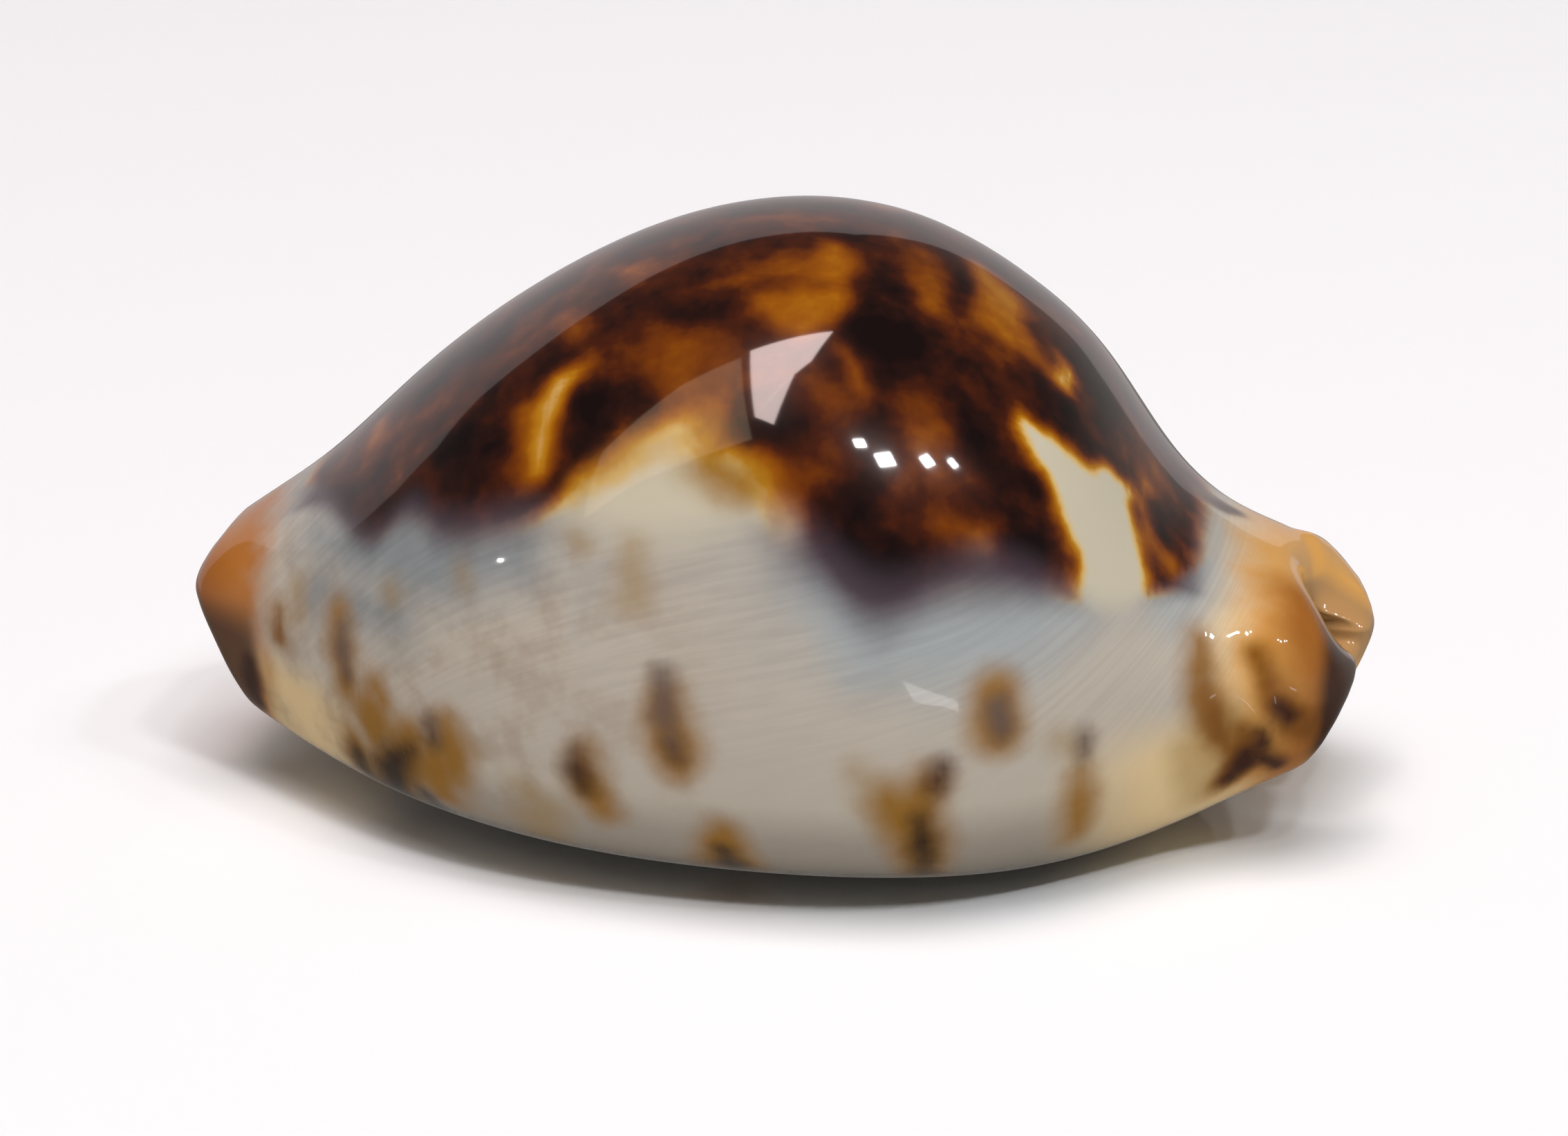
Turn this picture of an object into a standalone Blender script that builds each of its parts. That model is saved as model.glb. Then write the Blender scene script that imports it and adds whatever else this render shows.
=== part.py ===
"""A humped cowrie shell: one hollow coiled wall of shell with a toothed slot along its base.

X runs from the narrow front end to the blunt back end, Y from the side of the coil to the side of
the outer lip, and Z up. The wall is a sheet that starts at the outer lip, goes once round the body
and turns in at the slot to form the inner whorl. The shell rests on the flat lowest part of its
base, at Z = 0.
"""

import math

import bmesh
import bpy
import numpy as np

MM = 0.001

# Outlines along the length: (place along X, value), both in millimetres.
TOP = ((-40, 14.8), (-36, 17.8), (-31, 21.5), (-25, 27.2), (-17, 33.5), (-8, 38.2), (1, 40.0),
       (9, 38.6), (16, 34.5), (21, 29.5), (25, 23.5), (29, 19.8), (35, 17.4), (40, 13.4))
MIDDLE = ((-40, 13.0), (-34, 12.5), (-22, 11.5), (0, 11.5), (18, 11.5), (30, 12.0), (40, 12.5))
BOTTOM = ((-40, 8.4), (-35, 5.3), (-28, 2.6), (-18, 0.8), (-8, -0.2), (10, -0.6), (20, 0.1),
          (28, 2.5), (35, 6.2), (40, 9.0))
COIL_SIDE = ((-40, 4.5), (-36, 7.0), (-31, 11.0), (-24, 17.0), (-14, 22.5), (-2, 25.0), (10, 24.8),
             (19, 21.0), (26, 15.5), (31, 12.0), (36, 9.5), (40, 6.5))
LIP_SIDE = ((-40, 5.0), (-36, 7.5), (-31, 11.5), (-24, 17.5), (-14, 22.8), (-2, 25.0), (10, 25.2),
            (19, 22.5), (26, 17.8), (31, 14.0), (36, 10.4), (40, 7.0))
SLOT_CENTRE = ((-40, 0.6), (-25, 2.0), (0, 2.8), (16, 1.8), (28, -0.8), (34, -2.4), (40, -4.0))
SLOT_WIDTH = ((-40, 3.4), (-30, 5.2), (-20, 5.3), (-8, 4.5), (8, 3.4), (24, 3.1), (40, 3.0))

# The inner whorl: an ellipse that the coil side runs into at the slot, and how many degrees it turns.
WHORL_WIDTH = ((-40, 2.0), (-30, 3.8), (-12, 7.0), (8, 7.5), (24, 5.0), (32, 2.8), (40, 2.0))
WHORL_HEIGHT = ((-40, 2.0), (-30, 4.2), (-12, 12.0), (8, 13.0), (24, 6.0), (32, 3.0), (40, 2.0))
WHORL_TURN = ((-40, 40), (-30, 48), (-20, 150), (-8, 280), (8, 285), (20, 180), (28, 55), (40, 40))

# Places round the section are counted: 0 lip edge, 1 lip margin, 2 top, 3 coil margin,
# 4 lowest line of the coil side, and one more for each quarter turn of the inner whorl.
FRONT_RIM = ((0, -34.5), (0.5, -36.5), (1, -38.3), (2, -38.0), (3, -38.9), (3.5, -37.0), (4, -34.8),
             (8, -34.8))
BACK_RIM = ((0, 37.0), (1, 38.8), (2, 34.4), (2.5, 35.8), (3, 38.0), (3.5, 36.8), (4, 35.0), (8, 35.0))
WALL = ((0, 4.8), (0.5, 4.2), (1, 3.6), (2, 1.9), (3, 3.6), (4, 3.0), (4.7, 2.2), (5.6, 1.5), (8, 1.4))
END_WALL_SHARE = 0.68
END_STARTS = 26.0
END_SET = 33.0
RIM_RADIUS = 1.5

# Swellings of the wall: centre, reach along each axis and height, in millimetres.
SWELLS = (((33.0, -7.5, 15.5), (3.6, 4.5, 4.0), 0.9), ((33.5, -11.0, 10.0), (3.0, 4.0, 3.2), 0.9),
          ((-36.5, -4.5, 14.0), (2.6, 3.5, 3.0), 0.5))

TOOTH_PITCH = 2.5
TOOTH_DEPTH = 0.75
LIP_TOOTH_FADES = (1.8, 5.0)
LIP_TEETH = ((-40, 0), (-34, 0), (-29, 1), (0, 1), (27, 1), (32, 0), (40, 0))
COIL_TEETH = ((-40, 0), (-33, 0), (-27, 0.8), (-16, 0.6), (-4, 0.3), (12, 0.35), (24, 0.5), (30, 0), (40, 0))
COIL_TOOTH_PLACE = 4.4
COIL_TOOTH_REACH = 0.28

# The section's control points, in degrees up each quarter of its round.
LOWER_ANGLES = (90, 84, 76, 66, 53, 38, 20)
UPPER_ANGLES = (0, 15, 30, 45, 60, 75)
WHORL_STEPS = 7
FULL_SIDE = 0.03
FULL_BASE = 0.07
CROWN = 0.5
SPANS = 2 * len(LOWER_ANGLES) + 2 * len(UPPER_ANGLES) + WHORL_STEPS - 1


def curve(outline, place):
    """The value at each place of a natural cubic spline through an outline's points."""
    knots, values = np.array(outline, float).T
    gaps = np.diff(knots)
    slopes = np.diff(values) / gaps
    matrix = np.eye(len(knots))
    right = np.zeros(len(knots))
    for i in range(1, len(knots) - 1):
        matrix[i, i - 1:i + 2] = gaps[i - 1], 2 * (gaps[i - 1] + gaps[i]), gaps[i]
        right[i] = 6 * (slopes[i] - slopes[i - 1])
    bends = np.linalg.solve(matrix, right)
    k = np.clip(np.searchsorted(knots, place) - 1, 0, len(gaps) - 1)
    gap = gaps[k]
    after = place - knots[k]
    before = knots[k + 1] - place
    low = bends[k] * (before**3 / gap - gap * before) / 6 + values[k] * before / gap
    high = bends[k + 1] * (after**3 / gap - gap * after) / 6 + values[k + 1] * after / gap
    return low + high


def quarter(centre, margin, middle, end, degrees, fullness):
    """A point on a quarter ellipse from its margin (0 degrees) to its top or bottom end (90)."""
    angle = math.radians(degrees)
    reach = 1 + fullness * math.sin(2 * angle) ** 2
    across = centre + (margin - centre) * math.cos(angle) * reach
    return across, middle + (end - middle) * math.sin(angle) * reach


def section(x):
    """Control points (place round, y, z) of the sections at x, from the lip edge inward."""
    top, middle, bottom = curve(TOP, x), curve(MIDDLE, x), curve(BOTTOM, x)
    lip, coil = curve(LIP_SIDE, x), -curve(COIL_SIDE, x)
    edge = curve(SLOT_CENTRE, x) + curve(SLOT_WIDTH, x) / 2
    wide, tall = curve(WHORL_WIDTH, x), curve(WHORL_HEIGHT, x)
    whorl = edge - curve(SLOT_WIDTH, x) - wide
    turn = curve(WHORL_TURN, x)
    points = [(0, 2 * edge - quarter(edge, lip, middle, bottom, LOWER_ANGLES[1], 0)[0], bottom)]
    for degrees in LOWER_ANGLES:
        points.append((1 - degrees / 90, *quarter(edge, lip, middle, bottom, degrees, FULL_BASE)))
    for degrees in UPPER_ANGLES:
        points.append((1 + degrees / 90, *quarter(CROWN, lip, middle, top, degrees, FULL_SIDE)))
    points.append((2, CROWN, top))
    for degrees in reversed(UPPER_ANGLES):
        points.append((3 - degrees / 90, *quarter(CROWN, coil, middle, top, degrees, FULL_SIDE)))
    for degrees in reversed(LOWER_ANGLES[2:]):
        points.append((3 + degrees / 90, *quarter(whorl, coil, middle, bottom, degrees, FULL_BASE)))
    for step in range(WHORL_STEPS + 2):
        angle = np.radians(turn) * step / WHORL_STEPS
        across = whorl + wide * np.sin(angle)
        points.append((4 + turn / 90 * step / WHORL_STEPS, across, bottom + tall * (1 - np.cos(angle))))
    return np.array([np.broadcast_arrays(place + 0 * x, y, z) for place, y, z in points])


def along_row(s, x):
    """Points (place round, y, z) at the places x of the line that runs the shell's length at s."""
    span = min(int(s), SPANS - 1)
    t = s - span
    weights = np.array([(1 - t) ** 3, 3 * t**3 - 6 * t**2 + 4, -3 * t**3 + 3 * t**2 + 3 * t + 1, t**3])
    return np.tensordot(weights / 6, section(x)[span:span + 4], axes=1)


def places_along(front, back, inner, rounding, between):
    """Places along X from rim to rim: close together at the rounded rims, then the inner places."""
    steps = RIM_RADIUS * (1 - np.cos(np.linspace(0, math.pi / 2, rounding + 1)))
    first = np.linspace(front + RIM_RADIUS, inner[0], between + 2)[1:-1]
    last = np.linspace(inner[-1], back - RIM_RADIUS, between + 2)[1:-1]
    return np.concatenate([front + steps, first, inner, last, back - steps[::-1]])


def sheet_grid(rows, inner, rounding, between):
    """The outer face of the wall as a grid of points, and each point's place round the section."""
    points, rounds = [], []
    for s in rows:
        front = curve(FRONT_RIM, along_row(s, np.array([-38.0]))[0])[0]
        back = curve(BACK_RIM, along_row(s, np.array([38.0]))[0])[0]
        x = places_along(front, back, inner, rounding, between)
        place, y, z = along_row(s, x)
        points.append(np.stack([x, y, z], axis=1))
        rounds.append(place)
    return np.array(points), np.array(rounds)


def unit(vectors):
    return vectors / np.linalg.norm(vectors, axis=-1, keepdims=True)


def outward(grid):
    return unit(np.cross(np.gradient(grid, axis=0), np.gradient(grid, axis=1)))


def swollen(grid):
    """The grid with the callus swellings raised on it."""
    normals = outward(grid)
    rise = np.zeros(grid.shape[:2])
    for centre, reach, height in SWELLS:
        rise += height * np.exp(-(((grid - centre) / reach) ** 2).sum(axis=-1))
    return grid + normals * rise[..., None]


def smooth_step(value, start, end):
    t = np.clip((value - start) / (end - start), 0, 1)
    return t * t * (3 - 2 * t)


def distance_from_edge(grid, axis):
    """How far each point is from the grid's first line along an axis, measured on the sheet."""
    steps = np.linalg.norm(np.diff(grid, axis=axis), axis=-1)
    padding = [(0, 0), (0, 0)]
    padding[axis] = (1, 0)
    return np.cumsum(np.pad(steps, padding), axis=axis)


def rounded(distance, radius):
    """How much of the wall's half thickness is left near a rounded edge: 0 at the edge, then 1."""
    return np.sqrt(1 - (1 - np.clip(distance / radius, 0, 1)) ** 2)


def wall_faces(grid, rounds):
    """The outer and the inner face of the wall, meeting along its rounded edges."""
    x = grid[..., 0]
    axis = np.stack([x, CROWN + 0 * x, curve(MIDDLE, x)], axis=-1)
    at_end = smooth_step(np.abs(x), END_STARTS, END_SET)[..., None]
    inward = unit((1 - at_end) * -outward(grid) + at_end * unit(axis - grid))
    end_wall = END_WALL_SHARE * np.linalg.norm(axis - grid, axis=-1)
    half = (curve(WALL, rounds) * (1 - at_end[..., 0]) + end_wall * at_end[..., 0]) / 2
    from_lip = distance_from_edge(grid, 0)
    left = rounded(from_lip, half)
    left = left * rounded(distance_from_edge(grid[::-1], 0)[::-1], half)
    left = left * rounded(distance_from_edge(grid, 1), RIM_RADIUS)
    left = left * rounded(distance_from_edge(grid[:, ::-1], 1)[:, ::-1], RIM_RADIUS)
    middle = grid + inward * half[..., None]
    outer = middle - inward * (half * left)[..., None]
    inner = middle + inward * (half * left)[..., None]
    groove = TOOTH_DEPTH * (1 - np.cos(2 * math.pi * x / TOOTH_PITCH)) / 2
    lip_groove = groove * curve(LIP_TEETH, x).clip(0, 1) * (1 - smooth_step(from_lip, *LIP_TOOTH_FADES))
    coil_groove = groove * curve(COIL_TEETH, x).clip(0, 1)
    coil_groove *= np.exp(-(((rounds - COIL_TOOTH_PLACE) / COIL_TOOTH_REACH) ** 2))
    at_lip = 1 - np.clip(from_lip / half, 0, 1)
    into_sheet = unit(np.gradient(grid, axis=0))
    outer += inward * (lip_groove * (1 - at_lip) + coil_groove)[..., None]
    outer += into_sheet * (lip_groove * at_lip)[..., None]
    inner += into_sheet * (lip_groove * at_lip**2)[..., None]
    outer[..., 2] = np.maximum(outer[..., 2], 0)
    return outer, inner


def closed_mesh(name, outer, inner):
    """One closed mesh of the two faces, which share the points along their four edges."""
    rows, columns = outer.shape[:2]
    on_edge = np.ones((rows, columns), bool)
    on_edge[1:-1, 1:-1] = False
    number_outer = np.arange(rows * columns).reshape(rows, columns)
    number_inner = number_outer.copy()
    number_inner[~on_edge] = rows * columns + np.arange((~on_edge).sum())
    points = np.concatenate([outer.reshape(-1, 3), inner[~on_edge]])
    faces = []
    for number, turn in ((number_outer, 1), (number_inner, -1)):
        corners = [number[:-1, :-1], number[1:, :-1], number[1:, 1:], number[:-1, 1:]]
        faces += np.stack(corners, axis=-1).reshape(-1, 4)[:, ::turn].tolist()
    low, high = points.min(axis=0), points.max(axis=0)
    points -= ((low[0] + high[0]) / 2, (low[1] + high[1]) / 2, low[2])
    mesh = bpy.data.meshes.new(name)
    mesh.from_pydata((points * MM).tolist(), [], faces)
    return mesh


def triangulated(mesh):
    """Cut the faces into triangles, each along the diagonal that follows the surface best."""
    work = bmesh.new()
    work.from_mesh(mesh)
    bmesh.ops.triangulate(work, faces=work.faces[:], quad_method="SHORT_EDGE")
    work.to_mesh(mesh)
    work.free()


def glossy_shell_material():
    material = bpy.data.materials.new("glossy_shell")
    material.use_nodes = True
    shader = material.node_tree.nodes["Principled BSDF"]
    shader.inputs["Base Color"].default_value = (0.42, 0.30, 0.18, 1)
    shader.inputs["Roughness"].default_value = 0.18
    shader.inputs["Metallic"].default_value = 0
    return material


def build_shell():
    half_pitch = TOOTH_PITCH / 2
    inner = half_pitch * np.arange(-25, 26)
    edge_rows = np.array([0, 0.1, 0.4, 0.9, 1.5])
    last_rows = SPANS - np.array([1, 0.35, 0.08, 0])
    rows = np.concatenate([edge_rows, np.arange(2, SPANS - 1), last_rows])
    grid, rounds = sheet_grid(rows, inner, rounding=3, between=3)
    outer, inner_face = wall_faces(swollen(grid), rounds)
    mesh = closed_mesh("shell", outer, inner_face)
    triangulated(mesh)
    mesh.shade_smooth()
    mesh.materials.append(glossy_shell_material())
    shell = bpy.data.objects.new("shell", mesh)
    bpy.context.scene.collection.objects.link(shell)


for old in list(bpy.data.objects):
    bpy.data.objects.remove(old)
build_shell()
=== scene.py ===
"""The look of a humped cowrie shell: fine smooth form, painted pattern and glassy natural enamel.

The shell's form is the frame's own form at a finer step, in millimetres until it is handed over.
Marks are placed by (place along X in mm, place round the section, radius in mm). Places round are
counted 0 lip edge, 1 lip margin, 2 top, 3 coil margin, 4 lowest line of the coil side.
"""

import math

import bpy
import numpy as np
from mathutils import Matrix, Vector


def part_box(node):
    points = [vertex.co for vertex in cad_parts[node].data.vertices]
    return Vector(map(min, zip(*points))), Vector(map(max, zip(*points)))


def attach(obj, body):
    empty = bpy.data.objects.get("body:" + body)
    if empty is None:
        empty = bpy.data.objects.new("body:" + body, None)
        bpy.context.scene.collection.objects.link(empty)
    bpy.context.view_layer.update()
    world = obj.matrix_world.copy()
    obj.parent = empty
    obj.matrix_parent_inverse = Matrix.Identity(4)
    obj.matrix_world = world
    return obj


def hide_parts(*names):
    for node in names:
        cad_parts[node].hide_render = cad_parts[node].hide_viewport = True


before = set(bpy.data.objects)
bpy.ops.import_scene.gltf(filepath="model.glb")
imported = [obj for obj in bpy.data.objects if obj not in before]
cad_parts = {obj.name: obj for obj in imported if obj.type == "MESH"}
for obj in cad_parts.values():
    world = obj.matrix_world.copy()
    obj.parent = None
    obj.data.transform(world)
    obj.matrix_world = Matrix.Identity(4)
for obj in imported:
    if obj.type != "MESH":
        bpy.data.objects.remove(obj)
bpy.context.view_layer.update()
shell_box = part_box("shell")

MM = 0.001
# Form: outlines along the length, as (place along X, value), both in millimetres.
TOP = ((-40, 14.8), (-36, 17.8), (-31, 21.5), (-25, 27.2), (-17, 33.5), (-8, 38.2), (1, 40.0),
       (9, 38.6), (16, 34.5), (21, 29.5), (25, 23.5), (29, 19.8), (35, 17.4), (40, 13.4))
MIDDLE = ((-40, 13.0), (-34, 12.5), (-22, 11.5), (0, 11.5), (18, 11.5), (30, 12.0), (40, 12.5))
BOTTOM = ((-40, 8.4), (-35, 5.3), (-28, 2.6), (-18, 0.8), (-8, -0.2), (10, -0.6), (20, 0.1),
          (28, 2.5), (35, 6.2), (40, 9.0))
COIL_SIDE = ((-40, 4.5), (-36, 7.0), (-31, 11.0), (-24, 17.0), (-14, 22.5), (-2, 25.0), (10, 24.8),
             (19, 21.0), (26, 15.5), (31, 12.0), (36, 9.5), (40, 6.5))
LIP_SIDE = ((-40, 5.0), (-36, 7.5), (-31, 11.5), (-24, 17.5), (-14, 22.8), (-2, 25.0), (10, 25.2),
            (19, 22.5), (26, 17.8), (31, 14.0), (36, 10.4), (40, 7.0))
SLOT_CENTRE = ((-40, 0.6), (-25, 2.0), (0, 2.8), (16, 1.8), (28, -0.8), (34, -2.4), (40, -4.0))
SLOT_WIDTH = ((-40, 3.4), (-30, 5.2), (-20, 5.3), (-8, 4.5), (8, 3.4), (24, 3.1), (40, 3.0))
WHORL_WIDTH = ((-40, 2.0), (-30, 3.8), (-12, 7.0), (8, 7.5), (24, 5.0), (32, 2.8), (40, 2.0))
WHORL_HEIGHT = ((-40, 2.0), (-30, 4.2), (-12, 12.0), (8, 13.0), (24, 6.0), (32, 3.0), (40, 2.0))
WHORL_TURN = ((-40, 40), (-30, 48), (-20, 150), (-8, 280), (8, 285), (20, 180), (28, 55), (40, 40))
# Where the wall ends at the front and the back, and its thickness, by place round.
FRONT_RIM = ((0, -34.5), (0.5, -36.5), (1, -38.3), (2, -38.0), (3, -38.9), (3.5, -37.0), (4, -34.8),
             (8, -34.8))
BACK_RIM = ((0, 37.0), (1, 38.8), (2, 34.4), (2.5, 35.8), (3, 38.0), (3.5, 36.8), (4, 35.0), (8, 35.0))
WALL = ((0, 4.8), (0.5, 4.2), (1, 3.6), (2, 1.9), (3, 3.6), (4, 3.0), (4.7, 2.2), (5.6, 1.5), (8, 1.4))
# Toward both ends the wall thickens to a share of the way in, between these places along X.
END_WALL_SHARE = 0.68
END_STARTS = 26.0
END_SET = 33.0
RIM_RADIUS = 1.5
# Callus swellings on the ends: (centre, reach, height).
SWELLS = (((33.0, -7.5, 15.5), (3.6, 4.5, 4.0), 0.9), ((33.5, -11.0, 10.0), (3.0, 4.0, 3.2), 0.9),
          ((-36.5, -4.5, 14.0), (2.6, 3.5, 3.0), 0.5))
# Teeth of both lips: their pitch and depth, and how strong they are along the shell.
TOOTH_PITCH = 2.5
TOOTH_DEPTH = 0.75
LIP_TOOTH_FADES = (1.8, 5.0)
LIP_TEETH = ((-40, 0), (-34, 0), (-29, 1), (0, 1), (27, 1), (32, 0), (40, 0))
COIL_TEETH = ((-40, 0), (-33, 0), (-27, 0.8), (-16, 0.6), (-4, 0.3), (12, 0.35),
              (24, 0.5), (30, 0), (40, 0))
COIL_TOOTH_PLACE = 4.4
COIL_TOOTH_REACH = 0.28
# Degrees at which the control points of a section lie, and how full and where its curves are.
LOWER_ANGLES = (90, 84, 76, 66, 53, 38, 20)
UPPER_ANGLES = (0, 15, 30, 45, 60, 75)
WHORL_STEPS = 7
FULL_SIDE = 0.03
FULL_BASE = 0.07
CROWN = 0.5
SPANS = 2 * len(LOWER_ANGLES) + 2 * len(UPPER_ANGLES) + WHORL_STEPS - 1
# The step between points along the length: six to a tooth.
FINE_STEP = TOOTH_PITCH / 6

# Dark back: where it ends on the near side and on the far side, as (place along X, place round),
# where it ends at the front and the back, and the millimetres in one place round.
DARK_NEAR = (
    (-34, 2.32), (-30, 2.40), (-28, 2.49), (-26, 2.60), (-24.2, 2.635), (-22.3, 2.59), (-20.5, 2.62),
    (-19, 2.655), (-16, 2.665), (-13, 2.64), (-10.5, 2.605), (-8, 2.58), (-5, 2.545), (-2, 2.55),
    (0, 2.585), (3, 2.69), (6, 2.745), (9, 2.79), (12, 2.755), (16, 2.715), (20, 2.69), (24, 2.60),
    (28, 2.47), (32, 2.40),
)
DARK_FAR = (
    (-34, 1.75), (-29, 1.58), (-24, 1.40), (-19, 1.36), (-14, 1.43), (-9, 1.34), (-3, 1.27), (3, 1.30),
    (8, 1.40), (13, 1.33), (19, 1.30), (24, 1.44), (28, 1.60), (32, 1.70),
)
DARK_FRONT = -31.4
DARK_BACK = 28.0
ROUND_MM = 36.0

# Milky side enamel: where it starts to cover the back's colours, near side and far side.
MILK_NEAR = (
    (-34, 2.10), (-31, 2.24), (-28.5, 2.42), (-26, 2.57), (-24, 2.60), (-22, 2.56), (-20, 2.60),
    (-16, 2.63), (-12, 2.65), (-7, 2.70), (-2, 2.70), (3, 2.67), (6, 2.70), (9, 2.74), (13, 2.70),
    (18, 2.66), (22, 2.69), (24, 2.64), (25.5, 2.56), (27, 2.45), (29, 2.20), (32, 2.10),
)
MILK_FAR = (
    (-34, 1.85), (-29, 1.66), (-24, 1.48), (-18, 1.45), (-12, 1.50), (-5, 1.38), (2, 1.36), (8, 1.48),
    (14, 1.42), (20, 1.39), (25, 1.52), (29, 1.80), (32, 1.90),
)

# Strokes are lists of (place along X, place round, radius). First the pale places in the back.
PALE = (
    ((23.3, 2.30, 0.4), (22.2, 2.37, 1.5), (22.2, 2.44, 2.6), (22.8, 2.53, 2.7), (23.0, 2.64, 2.9),
     (23.0, 2.80, 3.2)),
    ((17.0, 2.38, 0.5), (18.6, 2.41, 1.2), (20.4, 2.44, 2.0), (21.5, 2.50, 2.2)),
    ((19.15, 2.15, 0.2), (18.95, 2.20, 0.3)),
    ((8.0, 1.52, 0.8), (9.5, 1.60, 1.4), (9.0, 1.46, 1.8)),
    ((-16.5, 1.62, 0.4), (-15.0, 1.55, 1.0), (-14.2, 1.47, 1.2)),
)

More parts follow.
